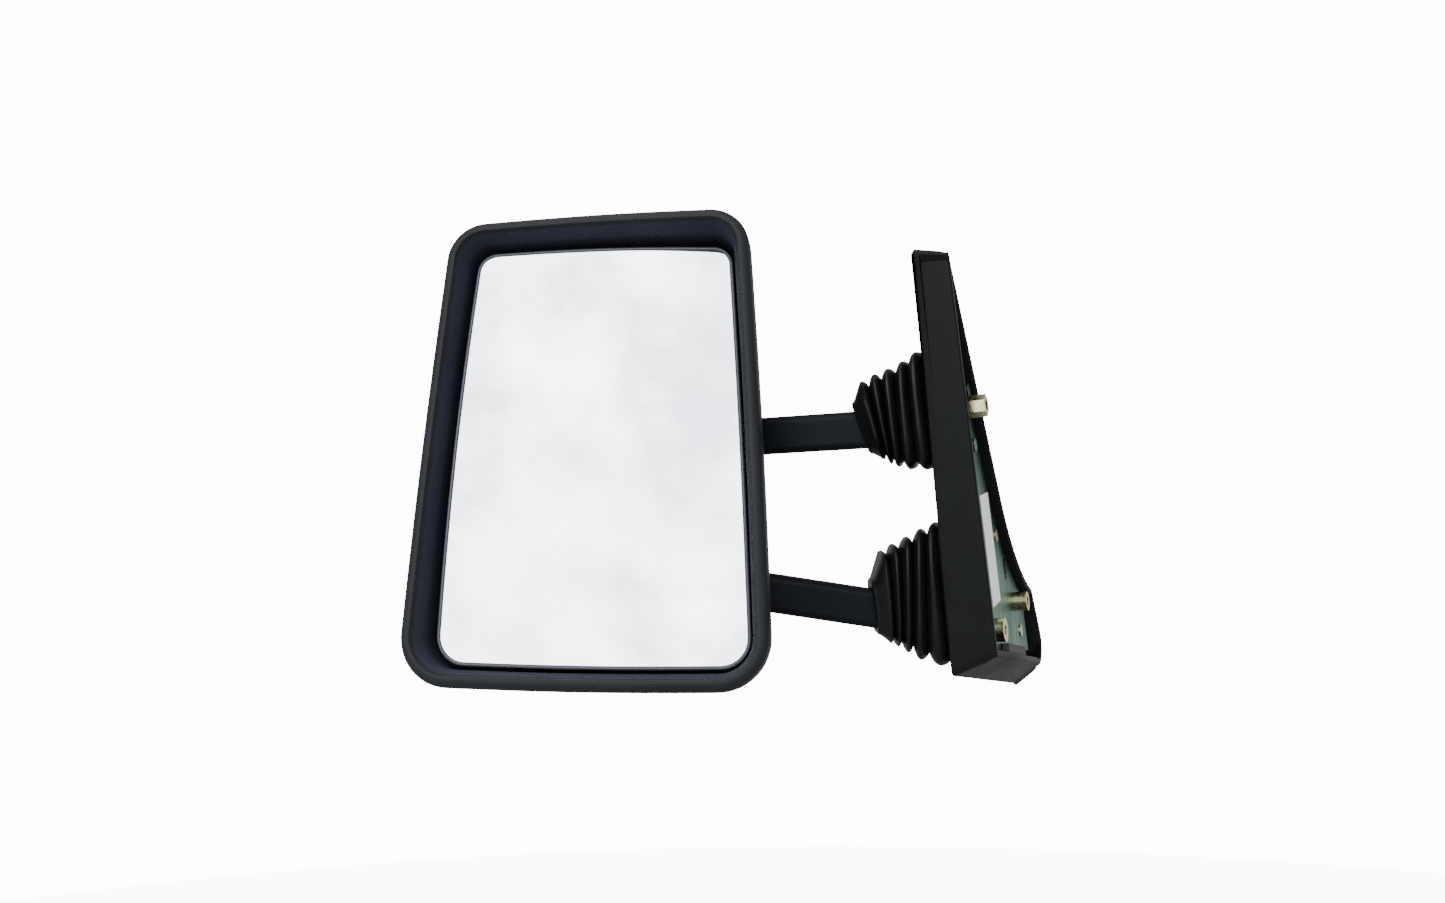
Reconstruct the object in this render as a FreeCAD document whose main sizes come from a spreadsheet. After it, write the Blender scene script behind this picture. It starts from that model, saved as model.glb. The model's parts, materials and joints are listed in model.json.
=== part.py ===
import FreeCAD, Part

import math
import os

import Sketcher
from FreeCAD import Placement, Rotation, Vector

# Twin-arm door mirror for a van or light truck, left side of the vehicle.
# +X points into the vehicle and x = 0 is the door face, +Y points forward, +Z up.
# The origin is where the axis of the upper fixing bush crosses the door face.

doc = FreeCAD.newDocument("towing_mirror")

SIZES = {
    # attitude of the base and of the head, in degrees
    "lean": 15.0, "head_yaw": 17.3, "head_lean": 1.5,
    # centre of the head's rim plane
    "head_x": -225.0, "head_y": -112.1, "head_z": -22.6,
    # outline of the head's shells, as the places of its four corners before rounding
    "rim_low": -158.2, "rim_low_left": -124.0, "rim_low_right": 120.1,
    "rim_top_left": -110.6, "rim_top_left_up": 161.0, "rim_top_right": 100.6, "rim_top_right_up": 163.0,
    "rim_top_radius": 28.0, "rim_low_radius": 34.0,
    # outline that the glass and its carrier follow
    "sight_half_high": 158.0, "sight_low_half": 119.5, "sight_top_half": 104.0, "sight_top_shift": -4.0,
    "lip_wall": 7.0, "lip_round": 5.0, "bezel_depth": 32.0, "bezel_draft": 2.5,
    "funnel_inset": 11.8, "funnel_depth": 15.0, "funnel_wall": 2.2, "bezel_skin": 3.0,
    "shell_gap": 0.3, "shell_wall": 3.0, "shell_mid_depth": 72.0, "shell_mid_inset": 8.0,
    "shell_depth": 94.0, "shell_back_inset": 30.0,
    # glass and its carrier
    "glass_inset": 16.3, "glass_depth": 15.5, "glass_thick": 3.0, "glass_radius": 2000.0, "glass_cant": 2.5,
    "pad_thick": 0.8, "pad_inset": 22.0, "carrier_inset": 13.9, "carrier_thick": 2.6,
    "carrier_lip": 0.6, "carrier_gap": 0.2,
    # glass joint
    "pivot_depth": 40.0, "trunnion_r": 3.0, "running_gap": 0.05, "cross_half": 4.0,
    "ear_near": 9.0, "ear_far": 14.0, "ear_half": 6.0,
    # plate in the head that carries the arms and the glass joint
    "plate_depth": 57.0, "plate_thick": 3.0,
    # arms
    "arm_high": 26.0, "arm_thick": 15.0, "arm_round": 5.0, "arm_head_x": 112.0, "arm_head_depth": 66.0,
    "arm_upper_z": 18.0, "arm_lower_z": -91.5, "arm_overrun": 14.0,
    "tongue_end": 40.0, "tongue_start": 103.0,
    "tongue_thick": 8.0, "tongue_high": 22.0, "neck_reach": 18.0,
    # fold hinges, seen in the leaning plane of the base
    "hinge_out": 45.0, "hinge_fore": 4.0, "hinge_upper": -7.0, "hinge_lower": -133.5,
    "pin_r": 5.0, "pin_tail": 27.0, "pin_cap": 4.0, "pin_cap_r": 8.0,
    "eye_r": 11.0, "eye_half": 10.0, "bush_wall": 1.95, "washer_thick": 0.8,
    "clevis_near": 11.0, "clevis_far": 15.0, "clevis_half": 11.0, "clevis_web": 3.0,
    "disc_r": 8.5, "disc_thick": 1.0, "disc_rise": 0.5, "nut_r": 7.0, "nut_high": 6.0,
    # base cover
    "cover_rear": -19.0, "cover_thick": 31.0, "cover_front_thick": 17.0, "cover_wall": 3.0,
    "cover_low": -162.0, "cover_top": 101.0, "cover_crown": 6.0, "cover_taper": 8.0,
    "cover_rim": 5.0, "cover_skirt": 12.0, "skirt_growth": 4.0, "foot_fore": 157.0,
    # bracket and bushes
    "bracket_face": 6.0, "bracket_thick": 3.0, "thread_r": 3.4, "spigot_r": 5.0,
    "hex_flats": 13.0, "hex_out": 9.0, "round_bush_r": 7.0, "front_bush_out": 3.0, "rear_bush_r": 8.0,
    "front_bush_fore": 98.0, "front_bush_up": -147.0, "rear_bush_fore": 19.0, "rear_bush_up": -152.0,
    # fasteners
    "bracket_bolt_gap": 3.5, "flange_out": 4.5, "slot_r": 4.0,
    "label_thick": 0.3, "label_wide": 26.0, "label_high": 76.0,
    "bolt_r": 4.0, "bolt_hole_r": 4.3, "bolt_cap_r": 7.0, "bolt_cap_high": 5.0,
    "screw_r": 2.5, "screw_hole_r": 2.7, "screw_cap_r": 4.5, "screw_cap_high": 2.6, "flush_cap_high": 0.8,
    "boss_r": 5.5,
    # bellows
    "bellows_wall": 2.5, "bellows_half_wide": 23.0, "bellows_upper_half": 40.0, "bellows_lower_half": 47.0,
    "bellows_upper_rise": 12.0, "bellows_lower_rise": 16.0, "shoulder_reach": 28.0, "collar_reach": 40.0,
    "collar_half_wide": 11.5, "collar_half_high": 17.0,
}

sheet = doc.addObject("Spreadsheet::Sheet", "dims")
for row, (alias, number) in enumerate(SIZES.items(), start=1):
    sheet.set("A%d" % row, alias)
    sheet.set("B%d" % row, str(number))
    sheet.setAlias("B%d" % row, alias)
doc.recompute()


def size(alias):
    return float(sheet.get(alias))


BASE = Placement(Vector(0, 0, 0), Rotation(Vector(1, 0, 0), size("lean")))
HEAD = Placement(
    Vector(size("head_x"), size("head_y"), size("head_z")),
    Rotation(Vector(0, 1, 0), size("head_lean")) * Rotation(Vector(0, 0, 1), size("head_yaw")),
)
WORLD = Placement()
nodes = []


def finish(obj, name, placement):
    """Name a sub-part and put it in its place."""
    obj.Label = name
    obj.Placement = placement
    nodes.append(obj)
    return obj


def bind(obj, **expressions):
    for name, expression in expressions.items():
        obj.setExpression(name, expression)


def put(obj, at, rotation=Rotation()):
    """Place an object; each coordinate is a number or an expression on the sheet."""
    numbers = [value if not isinstance(value, str) else 0.0 for value in at]
    obj.Placement = Placement(Vector(*numbers), rotation)
    for axis, value in zip("xyz", at):
        if isinstance(value, str):
            obj.setExpression("Placement.Base." + axis, value)
    return obj


def box(name, sizes, at, rotation=Rotation()):
    obj = doc.addObject("Part::Box", name)
    for prop, value in zip(("Length", "Width", "Height"), sizes):
        if isinstance(value, str):
            obj.setExpression(prop, value)
        else:
            setattr(obj, prop, value)
    return put(obj, at, rotation)


def rod(name, radius, length, at, rotation=Rotation()):
    """Cylinder along the local Z of its rotation."""
    obj = doc.addObject("Part::Cylinder", name)
    bind(obj, Radius=str(radius), Height=str(length))
    return put(obj, at, rotation)


def fuse(name, *parts):
    obj = doc.addObject("Part::MultiFuse", name)
    obj.Shapes = list(parts)
    return obj


def cut(name, base, *tools):
    obj = doc.addObject("Part::Cut", name)
    obj.Base = base
    obj.Tool = tools[0] if len(tools) == 1 else fuse(name + "_tools", *tools)
    return obj


def group(name, *parts):
    """Separate solids kept in one node."""
    obj = doc.addObject("Part::Compound", name)
    obj.Links = list(parts)
    return obj


def feature(name, shape, placement):
    obj = doc.addObject("Part::Feature", name)
    obj.Shape = shape
    return finish(obj, name, placement)


def origin_plane(body, role):
    return [plane for plane in body.Origin.OriginFeatures if plane.Role == role][0]


def plate(name, role, corners, holes, thickness, lift):
    """Flat sheet-metal body: a closed outline with round holes, padded and lifted off its plane."""
    body = doc.addObject("PartDesign::Body", name)
    sketch = body.newObject("Sketcher::SketchObject", name + "_outline")
    sketch.AttachmentSupport = [(origin_plane(body, role), "")]
    sketch.MapMode = "FlatFace"
    bind(sketch, **{"AttachmentOffset.Base.z": lift})
    count = len(corners)
    for index, corner in enumerate(corners):
        following = corners[(index + 1) % count]
        sketch.addGeometry(Part.LineSegment(Vector(*corner, 0), Vector(*following, 0)))
    for index in range(count):
        sketch.addConstraint(Sketcher.Constraint("Coincident", index, 2, (index + 1) % count, 1))
    for x, y, radius in holes:
        circle = sketch.addGeometry(Part.Circle(Vector(x, y, 0), Vector(0, 0, 1), size(radius)))
        rule = sketch.addConstraint(Sketcher.Constraint("Radius", circle, size(radius)))
        sketch.setExpression("Constraints[%d]" % rule, "dims." + radius)
    pad = body.newObject("PartDesign::Pad", name + "_pad")
    pad.Profile = sketch
    bind(pad, Length=thickness)
    return body


# ---------------------------------------------------------------- head shells

ALONG_X = Rotation(Vector(0, 1, 0), 90)
BACKWARD = Rotation(Vector(1, 0, 0), -90)


def inset_wire(corners, inset, depth):
    """Outline with rounded corners, moved inwards by inset, in the plane y = depth."""
    radii = [size("rim_low_radius")] * 2 + [size("rim_top_radius")] * 2
    offset = []
    for index, corner in enumerate(corners):
        before = (corner - corners[index - 1]).normalize()
        after = (corners[(index + 1) % 4] - corner).normalize()
        turn = before.getAngle(after)
        inward = (after - before).normalize()
        offset.append(corner + inward * (inset / math.cos(turn / 2)))
    return rounded_wire(offset, [max(radius - inset, 0.4 * radius) for radius in radii], Vector(0, depth, 0))


def rim_wire(inset, depth):
    """Outline of the head's shells."""
    low = size("rim_low")
    corners = [Vector(size("rim_low_left"), 0, low), Vector(size("rim_low_right"), 0, low),
               Vector(size("rim_top_right"), 0, size("rim_top_right_up")),
               Vector(size("rim_top_left"), 0, size("rim_top_left_up"))]
    return inset_wire(corners, inset, depth)


def sight_wire(inset):
    """Outline of the glass and its carrier, in the rim plane."""
    half = size("sight_half_high")
    low = size("sight_low_half")
    top = size("sight_top_half")
    shift = size("sight_top_shift")
    corners = [Vector(-low, 0, -half), Vector(low, 0, -half), Vector(top + shift, 0, half),
               Vector(shift - top, 0, half)]
    return inset_wire(corners, inset, 0)


def rounded_wire(corners, radii, move):
    """Closed wire through the corners, with an arc of the given radius at each."""
    edges = []
    arcs = []
    for index, corner in enumerate(corners):
        before = (corner - corners[index - 1]).normalize()
        after = (corners[(index + 1) % len(corners)] - corner).normalize()
        turn = before.getAngle(after)
        reach = radii[index] * math.tan(turn / 2)
        bulge = radii[index] * (1 / math.cos(turn / 2) - 1)
        middle = corner + (after - before).normalize() * bulge
        arcs.append((corner - before * reach + move, middle + move, corner + after * reach + move))
    for index, (start, middle, end) in enumerate(arcs):
        edges.append(Part.Arc(start, middle, end).toShape())
        edges.append(Part.makeLine(end, arcs[(index + 1) % len(arcs)][0]))
    return Part.Wire(edges)


def tube(sections):
    """Solid through rim outlines given as (inset, depth)."""
    return Part.makeLoft([rim_wire(inset, depth) for inset, depth in sections], True, True)


def front_bezel():
    """Frame with a rounded lip, a funnel down to the glass and a hollow behind the funnel."""
    depth = size("bezel_depth")
    draft = size("bezel_draft")
    inset = size("funnel_inset")
    back = inset - size("funnel_wall")
    outer = tube([(0, 0), (draft, depth)])
    crown = [edge for edge in outer.Edges if edge.BoundBox.YMax < 0.01]
    outer = outer.makeFillet(size("lip_round"), crown)
    mouth = tube([(size("lip_wall"), -1), (inset, size("funnel_depth")), (inset, depth + 1)])
    hollow = tube([(size("bezel_skin"), size("funnel_depth")), (size("bezel_skin") + draft, depth + 1)])
    hollow = hollow.cut(tube([(back, 0), (back, depth + 2)]))
    feature("front_bezel", outer.cut(mouth).cut(hollow), HEAD)


SHELL_SCREWS = [(-15.0, 22.0), (-15.0, -92.0), (78.0, -20.0), (78.0, -50.0)]


def rear_shell():
    wall = size("shell_wall")
    start = size("bezel_depth") + size("shell_gap")
    draft = size("bezel_draft")
    middle = (size("shell_mid_inset"), size("shell_mid_depth"))
    back = (size("shell_back_inset"), size("shell_depth"))
    outer = tube([(draft, start), middle, back])
    inner = tube([(draft + wall, start), (middle[0] + wall, middle[1]), (back[0] + wall, back[1] - wall)])
    shell = outer.cut(inner)
    plate_back = size("plate_depth") + size("plate_thick")
    for x, z in SHELL_SCREWS:
        length = back[1] - wall - plate_back + 0.5
        boss = Part.makeCylinder(size("boss_r"), length, Vector(x, plate_back, z), Vector(0, 1, 0))
        shell = shell.fuse(boss)
    for x, z in SHELL_SCREWS:
        hole = Part.makeCylinder(size("screw_hole_r"), back[1], Vector(x, plate_back - 1, z), Vector(0, 1, 0))
        shell = shell.cut(hole)
    for z in (size("arm_upper_z"), size("arm_lower_z")):
        slot_high = size("arm_high") + 10
        slot_deep = size("arm_thick") + 9
        slot = Part.makeBox(40, slot_deep, slot_high,
                            Vector(90, size("arm_head_depth") - slot_deep / 2, z - slot_high / 2))
        shell = shell.cut(slot)
    feature("rear_shell", shell, HEAD)


# ---------------------------------------------------------------- glass and glass joint

def dish(inset, front, thickness):
    """Slice of a convex glass-shaped shell: its front face lies 'front' behind the glass surface.

    The whole glass is canted about the upright axis of its joint."""
    radius = size("glass_radius")
    pivot = Vector(0, size("pivot_depth"), 0)
    centre = Vector(0, size("glass_depth") + radius, 0)
    block = Part.Face(sight_wire(inset)).extrude(Vector(0, size("pivot_depth"), 0))
    ball = Part.makeSphere(radius - front, centre)
    core = Part.makeSphere(radius - front - thickness, centre)
    for solid in (block, ball, core):
        solid.rotate(pivot, Vector(0, 0, 1), size("glass_cant"))
    return block.common(ball).cut(core)


def glass_pieces():
    glass = size("glass_thick")
    pad = size("pad_thick")
    feature("mirror_glass", dish(size("glass_inset"), 0, glass), HEAD)
    feature("adhesive_pad", dish(size("pad_inset"), glass, pad), HEAD)
    tray = dish(size("carrier_inset"), glass + pad, size("carrier_thick"))
    edge = dish(size("carrier_inset"), -size("carrier_lip"), glass + pad + size("carrier_lip") + 0.5)
    edge = edge.cut(dish(size("glass_inset") - size("carrier_gap"), -2, glass + pad + 6))
    carrier = tray.fuse(edge)
    start = size("glass_depth") + glass + pad + size("carrier_thick") - 1
    half = size("ear_half")
    for side in (-1, 1):
        low = min(side * size("ear_near"), side * size("ear_far"))
        wide = size("ear_far") - size("ear_near")
        ear = Part.makeBox(wide, size("pivot_depth") - start, 2 * half, Vector(low, start, -half))
        tip = Part.makeCylinder(half, wide, Vector(low, size("pivot_depth"), 0), Vector(1, 0, 0))
        carrier = carrier.fuse(ear).fuse(tip)
    bore = Part.makeCylinder(size("trunnion_r") + size("running_gap"), 60,
                             Vector(-30, size("pivot_depth"), 0), Vector(1, 0, 0))
    feature("glass_carrier", carrier.cut(bore).removeSplitter(), HEAD)


def gimbal_cross():
    block = box("cross_block", ["2 * dims.cross_half"] * 3,
                ("-dims.cross_half", "dims.pivot_depth - dims.cross_half", "-dims.cross_half"))
    upright = rod("cross_upright", "dims.trunnion_r", "2 * dims.ear_far",
                  (0, "dims.pivot_depth", "-dims.ear_far"))
    level = rod("cross_level", "dims.trunnion_r", "2 * dims.ear_far",
                ("-dims.ear_far", "dims.pivot_depth", 0), ALONG_X)
    finish(fuse("gimbal_cross", block, upright, level), "gimbal_cross", HEAD)


POST_SCREWS = [(-13.0, -13.0), (13.0, -13.0), (13.0, 13.0), (-13.0, 13.0)]


def pivot_post():
    """Fork on the head plate; its ears hold the upright trunnions of the cross."""
    flange = box("post_flange", (36, 4, 36), (-18, "dims.plate_depth - 4", -18))
    ears = []
    ear_thick = "dims.ear_far - dims.ear_near"
    for index, low in enumerate(("-dims.ear_far", "dims.ear_near")):
        wall = box("post_wall_%d" % index,
                   ("2 * dims.ear_half", "dims.plate_depth - 3 - dims.pivot_depth", ear_thick),
                   ("-dims.ear_half", "dims.pivot_depth", low))
        tip = rod("post_tip_%d" % index, "dims.ear_half", ear_thick,
                  (0, "dims.pivot_depth", low))
        ears += [wall, tip]
    bore = rod("post_bore", "dims.trunnion_r + dims.running_gap", 60, (0, "dims.pivot_depth", -30))
    holes = [rod("post_hole_%d" % index, "dims.screw_hole_r", 12, (x, "dims.plate_depth - 8", z), BACKWARD)
             for index, (x, z) in enumerate(POST_SCREWS)]
    finish(cut("pivot_post", fuse("post_body", flange, *ears), bore, *holes), "pivot_post", HEAD)


def preload_spring():
    """Small coil that presses the cross forward and gives the glass joint its friction."""
    start = size("pivot_depth") + size("cross_half") + 0.8
    length = size("plate_depth") - 4 - start - 0.2
    wire_r = 0.6
    helix = Part.makeHelix(2.4, length - 2 * wire_r, 3.2)
    profile = Part.Wire(Part.makeCircle(wire_r, Vector(3.2, 0, 0), Vector(0, 1, 0)))
    coil = Part.Wire(helix).makePipeShell([profile], True, True)
    feature("preload_spring", coil, HEAD * Placement(Vector(0, start + wire_r, 0), BACKWARD))


# ---------------------------------------------------------------- plate in the head

ARM_BOLTS = [(55.0, "arm_upper_z"), (80.0, "arm_upper_z"), (55.0, "arm_lower_z"), (80.0, "arm_lower_z")]


def head_plate():
    outline = [(-32, 36), (95, 36), (95, -106), (-32, -106)]
    holes = [(x, size(z), "bolt_hole_r") for x, z in ARM_BOLTS]
    holes += [(x, z, "screw_hole_r") for x, z in POST_SCREWS + SHELL_SCREWS]
    body = plate("head_plate_body", "XZ_Plane", outline, holes, "dims.plate_thick",
                 "-dims.plate_depth - dims.plate_thick")
    finish(body, "head_plate", HEAD)


def bolts(name, places, shank_r, cap_r, cap_high, face, length, placement, rotation, offset):
    """Row of bolts: the cap stands on 'face' and the shank runs away from it along the rotation."""
    parts = []
    for index, (x, z) in enumerate(places):
        shank = rod("%s_shank_%d" % (name, index), shank_r, length, offset(x, z, face), rotation)
        cap = rod("%s_cap_%d" % (name, index), cap_r, cap_high,
                  offset(x, z, "%s - (%s)" % (face, cap_high)), rotation)
        parts.append(fuse("%s_%d" % (name, index), shank, cap))
    finish(group(name, *parts), name, placement)


def head_place(x, z, depth):
    return (x, depth, z)


def head_fasteners():
    places = [(x, "dims." + z) for x, z in ARM_BOLTS]
    bolts("arm_bolts", places, "dims.bolt_r", "dims.bolt_cap_r", "dims.bolt_cap_high",
          "dims.plate_depth", "dims.plate_thick + dims.tongue_thick + 8", HEAD, BACKWARD, head_place)
    nut_face = "dims.plate_depth + dims.plate_thick + dims.tongue_thick"
    nuts = []
    for index, (x, z) in enumerate(places):
        nut = hexagon("arm_nut_blank_%d" % index, "dims.nut_r", "dims.nut_high", (x, nut_face, z), BACKWARD)
        hole = rod("arm_nut_hole_%d" % index, "dims.bolt_r + 0.05", 20,
                   (x, nut_face + " - 5", z), BACKWARD)
        nuts.append(cut("arm_nut_%d" % index, nut, hole))
    finish(group("arm_nuts", *nuts), "arm_nuts", HEAD)
    bolts("post_screws", POST_SCREWS, "dims.screw_r", "dims.screw_cap_r", "dims.screw_cap_high",
          "dims.plate_depth - 4", "4 + dims.plate_thick + 3", HEAD, BACKWARD, head_place)
    forward = Rotation(Vector(1, 0, 0), 90)
    screws = []
    for index, (x, z) in enumerate(SHELL_SCREWS):
        shank = rod("shell_screw_shank_%d" % index, "dims.screw_r", "dims.shell_depth - dims.plate_depth + 2",
                    (x, "dims.shell_depth", z), forward)
        cap = rod("shell_screw_cap_%d" % index, "dims.screw_cap_r", "dims.screw_cap_high",
                  (x, "dims.shell_depth + dims.screw_cap_high", z), forward)
        screws.append(fuse("shell_screw_%d" % index, shank, cap))
    finish(group("shell_screws", *screws), "shell_screws", HEAD)


def hexagon(name, radius, height, at, rotation=Rotation()):
    obj = doc.addObject("Part::Prism", name)
    obj.Polygon = 6
    bind(obj, Circumradius=radius, Height=height)
    return put(obj, at, rotation)


# ---------------------------------------------------------------- arms and fold hinges

SIDES = ("upper", "lower")


def hinge_point(side):
    """Centre of a fold hinge in the leaning frame of the base."""
    return Vector(-size("hinge_out"), size("hinge_fore"), size("hinge_" + side))


def arm_frame(side):
    """Hinge centre, end of the level neck, end of the bar, and the rotations of neck and bar.

    The local X of each rotation runs from the hinge to the head, the local Z up along the hinge.
    """
    start = BASE.multVec(hinge_point(side))
    end = HEAD.multVec(Vector(size("arm_head_x"), size("arm_head_depth"), size("arm_%s_z" % side)))
    axis = BASE.Rotation.multVec(Vector(0, 0, 1))
    along = end - start
    neck = Rotation(along - axis * along.dot(axis), Vector(0, 0, 0), axis, "ZXY")
    neck_end = start + neck.multVec(Vector(size("neck_reach"), 0, 0))
    bar = Rotation(end - neck_end, Vector(0, 0, 0), axis, "XZY")
    return start, neck_end, end, neck, bar


def arm(side):
    """Arm: an eye on the fold pin, a level neck, a long bar and a flat tongue bolted in the head."""
    start, neck_end, end, level, bar_rotation = arm_frame(side)
    half = size("arm_thick") / 2
    run = end - neck_end
    name = "arm_" + side
    eye = doc.addObject("Part::Cylinder", name + "_eye")
    bind(eye, Radius="dims.eye_r", Height="2 * dims.eye_half")
    eye.Placement = Placement(start + level.multVec(Vector(0, 0, -size("eye_half"))), level)
    neck = doc.addObject("Part::Box", name + "_neck")
    bind(neck, Length="dims.neck_reach + 3", Width="dims.arm_thick - 2", Height="2 * dims.eye_half")
    neck.Placement = Placement(start + level.multVec(Vector(0, 1 - half, -size("eye_half"))), level)
    blank = doc.addObject("Part::Box", name + "_blank")
    blank.Length = run.Length + size("arm_overrun") + 2
    bind(blank, Width="dims.arm_thick", Height="dims.arm_high")
    doc.recompute()
    bar = doc.addObject("Part::Fillet", name + "_bar")
    bar.Base = blank
    radius = size("arm_round")
    bar.Edges = [(number, radius, radius) for number, edge in enumerate(blank.Shape.Edges, start=1)
                 if edge.BoundBox.XLength > size("arm_high")]
    corner = Vector(-2, -half, -size("arm_high") / 2)
    bar.Placement = Placement(neck_end + bar_rotation.multVec(corner), bar_rotation)
    tongue = box(name + "_tongue",
                 ("dims.tongue_start - dims.tongue_end", "dims.tongue_thick", "dims.tongue_high"), (0, 0, 0))
    tongue.Placement = HEAD * Placement(
        Vector(size("tongue_end"), size("plate_depth") + size("plate_thick"),
               size("arm_%s_z" % side) - size("tongue_high") / 2), Rotation())
    bore = doc.addObject("Part::Cylinder", name + "_bore")
    bind(bore, Radius="dims.pin_r + dims.running_gap + dims.bush_wall", Height="60")
    bore.Placement = Placement(start + level.multVec(Vector(0, 0, -30)), level)
    holes = []
    for index, (x, z) in enumerate(ARM_BOLTS):
        if z == "arm_%s_z" % side:
            hole = doc.addObject("Part::Cylinder", "%s_hole_%d" % (name, index))
            bind(hole, Radius="dims.bolt_hole_r", Height="40")
            hole.Placement = HEAD * Placement(Vector(x, size("plate_depth") - 5, size(z)), BACKWARD)
            holes.append(hole)
    finish(cut(name, fuse(name + "_body", eye, neck, bar, tongue), bore, *holes), name, WORLD)


def hinge_bracket(side):
    """Steel clevis: a web on the bracket plate and two ears that stand out through the cover."""
    name = "hinge_bracket_" + side
    fore = "dims.hinge_fore"
    up = "dims.hinge_" + side
    web_face = "-dims.bracket_face - dims.bracket_thick"
    web = box(name + "_web", ("dims.clevis_web", "2 * dims.clevis_half", "2 * dims.clevis_far + 14"),
              (web_face + " - dims.clevis_web", fore + " - dims.clevis_half", up + " - dims.clevis_far - 7"))
    ears = []
    ear_thick = "dims.clevis_far - dims.clevis_near"
    for index, low in enumerate((" + dims.clevis_near", " - dims.clevis_far")):
        wall = box("%s_ear_%d" % (name, index),
                   ("dims.hinge_out + %s" % web_face, "2 * dims.clevis_half", ear_thick),
                   ("-dims.hinge_out", fore + " - dims.clevis_half", up + low))
        tip = rod("%s_tip_%d" % (name, index), "dims.clevis_half", ear_thick,
                  ("-dims.hinge_out", fore, up + low))
        ears += [wall, tip]
    bore = rod(name + "_bore", "dims.pin_r + dims.running_gap", 80, ("-dims.hinge_out", fore, up + " - 40"))
    shift = " + (%g)" % BRACKET_BOLT_SHIFT[side]
    holes = [rod("%s_hole_%d" % (name, index), "dims.screw_hole_r", 20,
                 (web_face + " - 12", fore + shift, up + gap), ALONG_X)
             for index, gap in enumerate((" + dims.clevis_far + dims.bracket_bolt_gap",
                                          " - dims.clevis_far - dims.bracket_bolt_gap"))]
    finish(cut(name, fuse(name + "_body", web, *ears), bore, *holes), name, BASE)


def ring(name, outer, inner, low, height, side):
    """Washer or bush round a fold pin; 'low' is measured along the pin from the hinge centre."""
    out, fore, up = "-dims.hinge_out", "dims.hinge_fore", "dims.hinge_" + side
    disc = rod(name + "_disc", outer, height, (out, fore, "%s + (%s)" % (up, low)))
    hole = rod(name + "_hole", inner, 60, (out, fore, up + " - 30"))
    return cut(name, disc, hole)


def hinge_pin(side):
    out, fore, up = "-dims.hinge_out", "dims.hinge_fore", "dims.hinge_" + side
    name = "hinge_pin_" + side
    shank = rod(name + "_shank", "dims.pin_r", "dims.pin_tail + dims.clevis_far + 1",
                (out, fore, up + " - dims.clevis_far - 1"))
    cap = rod(name + "_cap", "dims.pin_cap_r", "dims.pin_cap",
              (out, fore, up + " - dims.clevis_far - dims.pin_cap"))
    finish(fuse(name, shank, cap), name, BASE)


def hinge_small_parts():
    running = "dims.pin_r + dims.running_gap"
    bushes, washers, springs, nuts = [], [], [], []
    for side in SIDES:
        bushes.append(ring("eye_bush_" + side, "dims.pin_r + dims.bush_wall", running,
                           "-dims.eye_half", "2 * dims.eye_half", side))
        for end, low in (("top", "dims.eye_half + 0.1"),
                         ("bottom", "-dims.eye_half - dims.washer_thick - 0.1")):
            washers.append(ring("thrust_%s_%s" % (side, end), "dims.eye_r - 1", running, low,
                                "dims.washer_thick", side))
        for index in range(2):
            disc = doc.addObject("Part::Cone", "disc_%s_%d" % (side, index))
            tip = doc.addObject("Part::Cone", "disc_inner_%s_%d" % (side, index))
            low = "dims.hinge_%s + dims.clevis_far + %d * (dims.disc_thick + dims.disc_rise)" % (side, index)
            bind(disc, Radius1="dims.disc_r", Radius2="dims.disc_r - 1", Height="dims.disc_thick")
            bind(tip, Radius1="dims.pin_r + 0.3", Radius2="dims.pin_r + 0.3", Height="dims.disc_thick")
            put(disc, ("-dims.hinge_out", "dims.hinge_fore", low))
            put(tip, ("-dims.hinge_out", "dims.hinge_fore", low))
            springs.append(cut("disc_spring_%s_%d" % (side, index), disc, tip))
        nut_low = "dims.hinge_%s + dims.clevis_far + 2 * (dims.disc_thick + dims.disc_rise)" % side
        nut = hexagon("hinge_nut_blank_" + side, "dims.nut_r + 1", "dims.nut_high",
                      ("-dims.hinge_out", "dims.hinge_fore", nut_low))
        hole = rod("hinge_nut_hole_" + side, running, 60,
                   ("-dims.hinge_out", "dims.hinge_fore", "dims.hinge_%s - 10" % side))
        nuts.append(cut("hinge_nut_" + side, nut, hole))
    finish(group("pivot_bushes", *bushes), "pivot_bushes", BASE)
    finish(group("thrust_washers", *washers), "thrust_washers", BASE)
    finish(group("disc_springs", *springs), "disc_springs", BASE)
    finish(group("hinge_nuts", *nuts), "hinge_nuts", BASE)


# ---------------------------------------------------------------- bellows

def rounded_section(centre, rotation, half_wide, half_high):
    """Rounded rectangle in the local YZ plane of a rotation."""
    corners = [Vector(0, -half_wide, -half_high), Vector(0, half_wide, -half_high),
               Vector(0, half_wide, half_high), Vector(0, -half_wide, half_high)]
    wire = rounded_wire(corners, [0.7 * half_wide] * 4, Vector(0, 0, 0))
    wire.Placement = Placement(centre, rotation)
    return wire


def cover_skin(y, z):
    """Place along x of the outer face of the base cover, at a place in the leaning plane."""
    share = (y - size("cover_rear")) / (size("foot_fore") - size("cover_rear"))
    rise = (z - size("cover_low")) / (size("cover_top") - size("cover_low"))
    thinning = size("cover_thick") - size("cover_front_thick")
    return -size("cover_thick") + thinning * share + size("cover_taper") * rise


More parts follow.
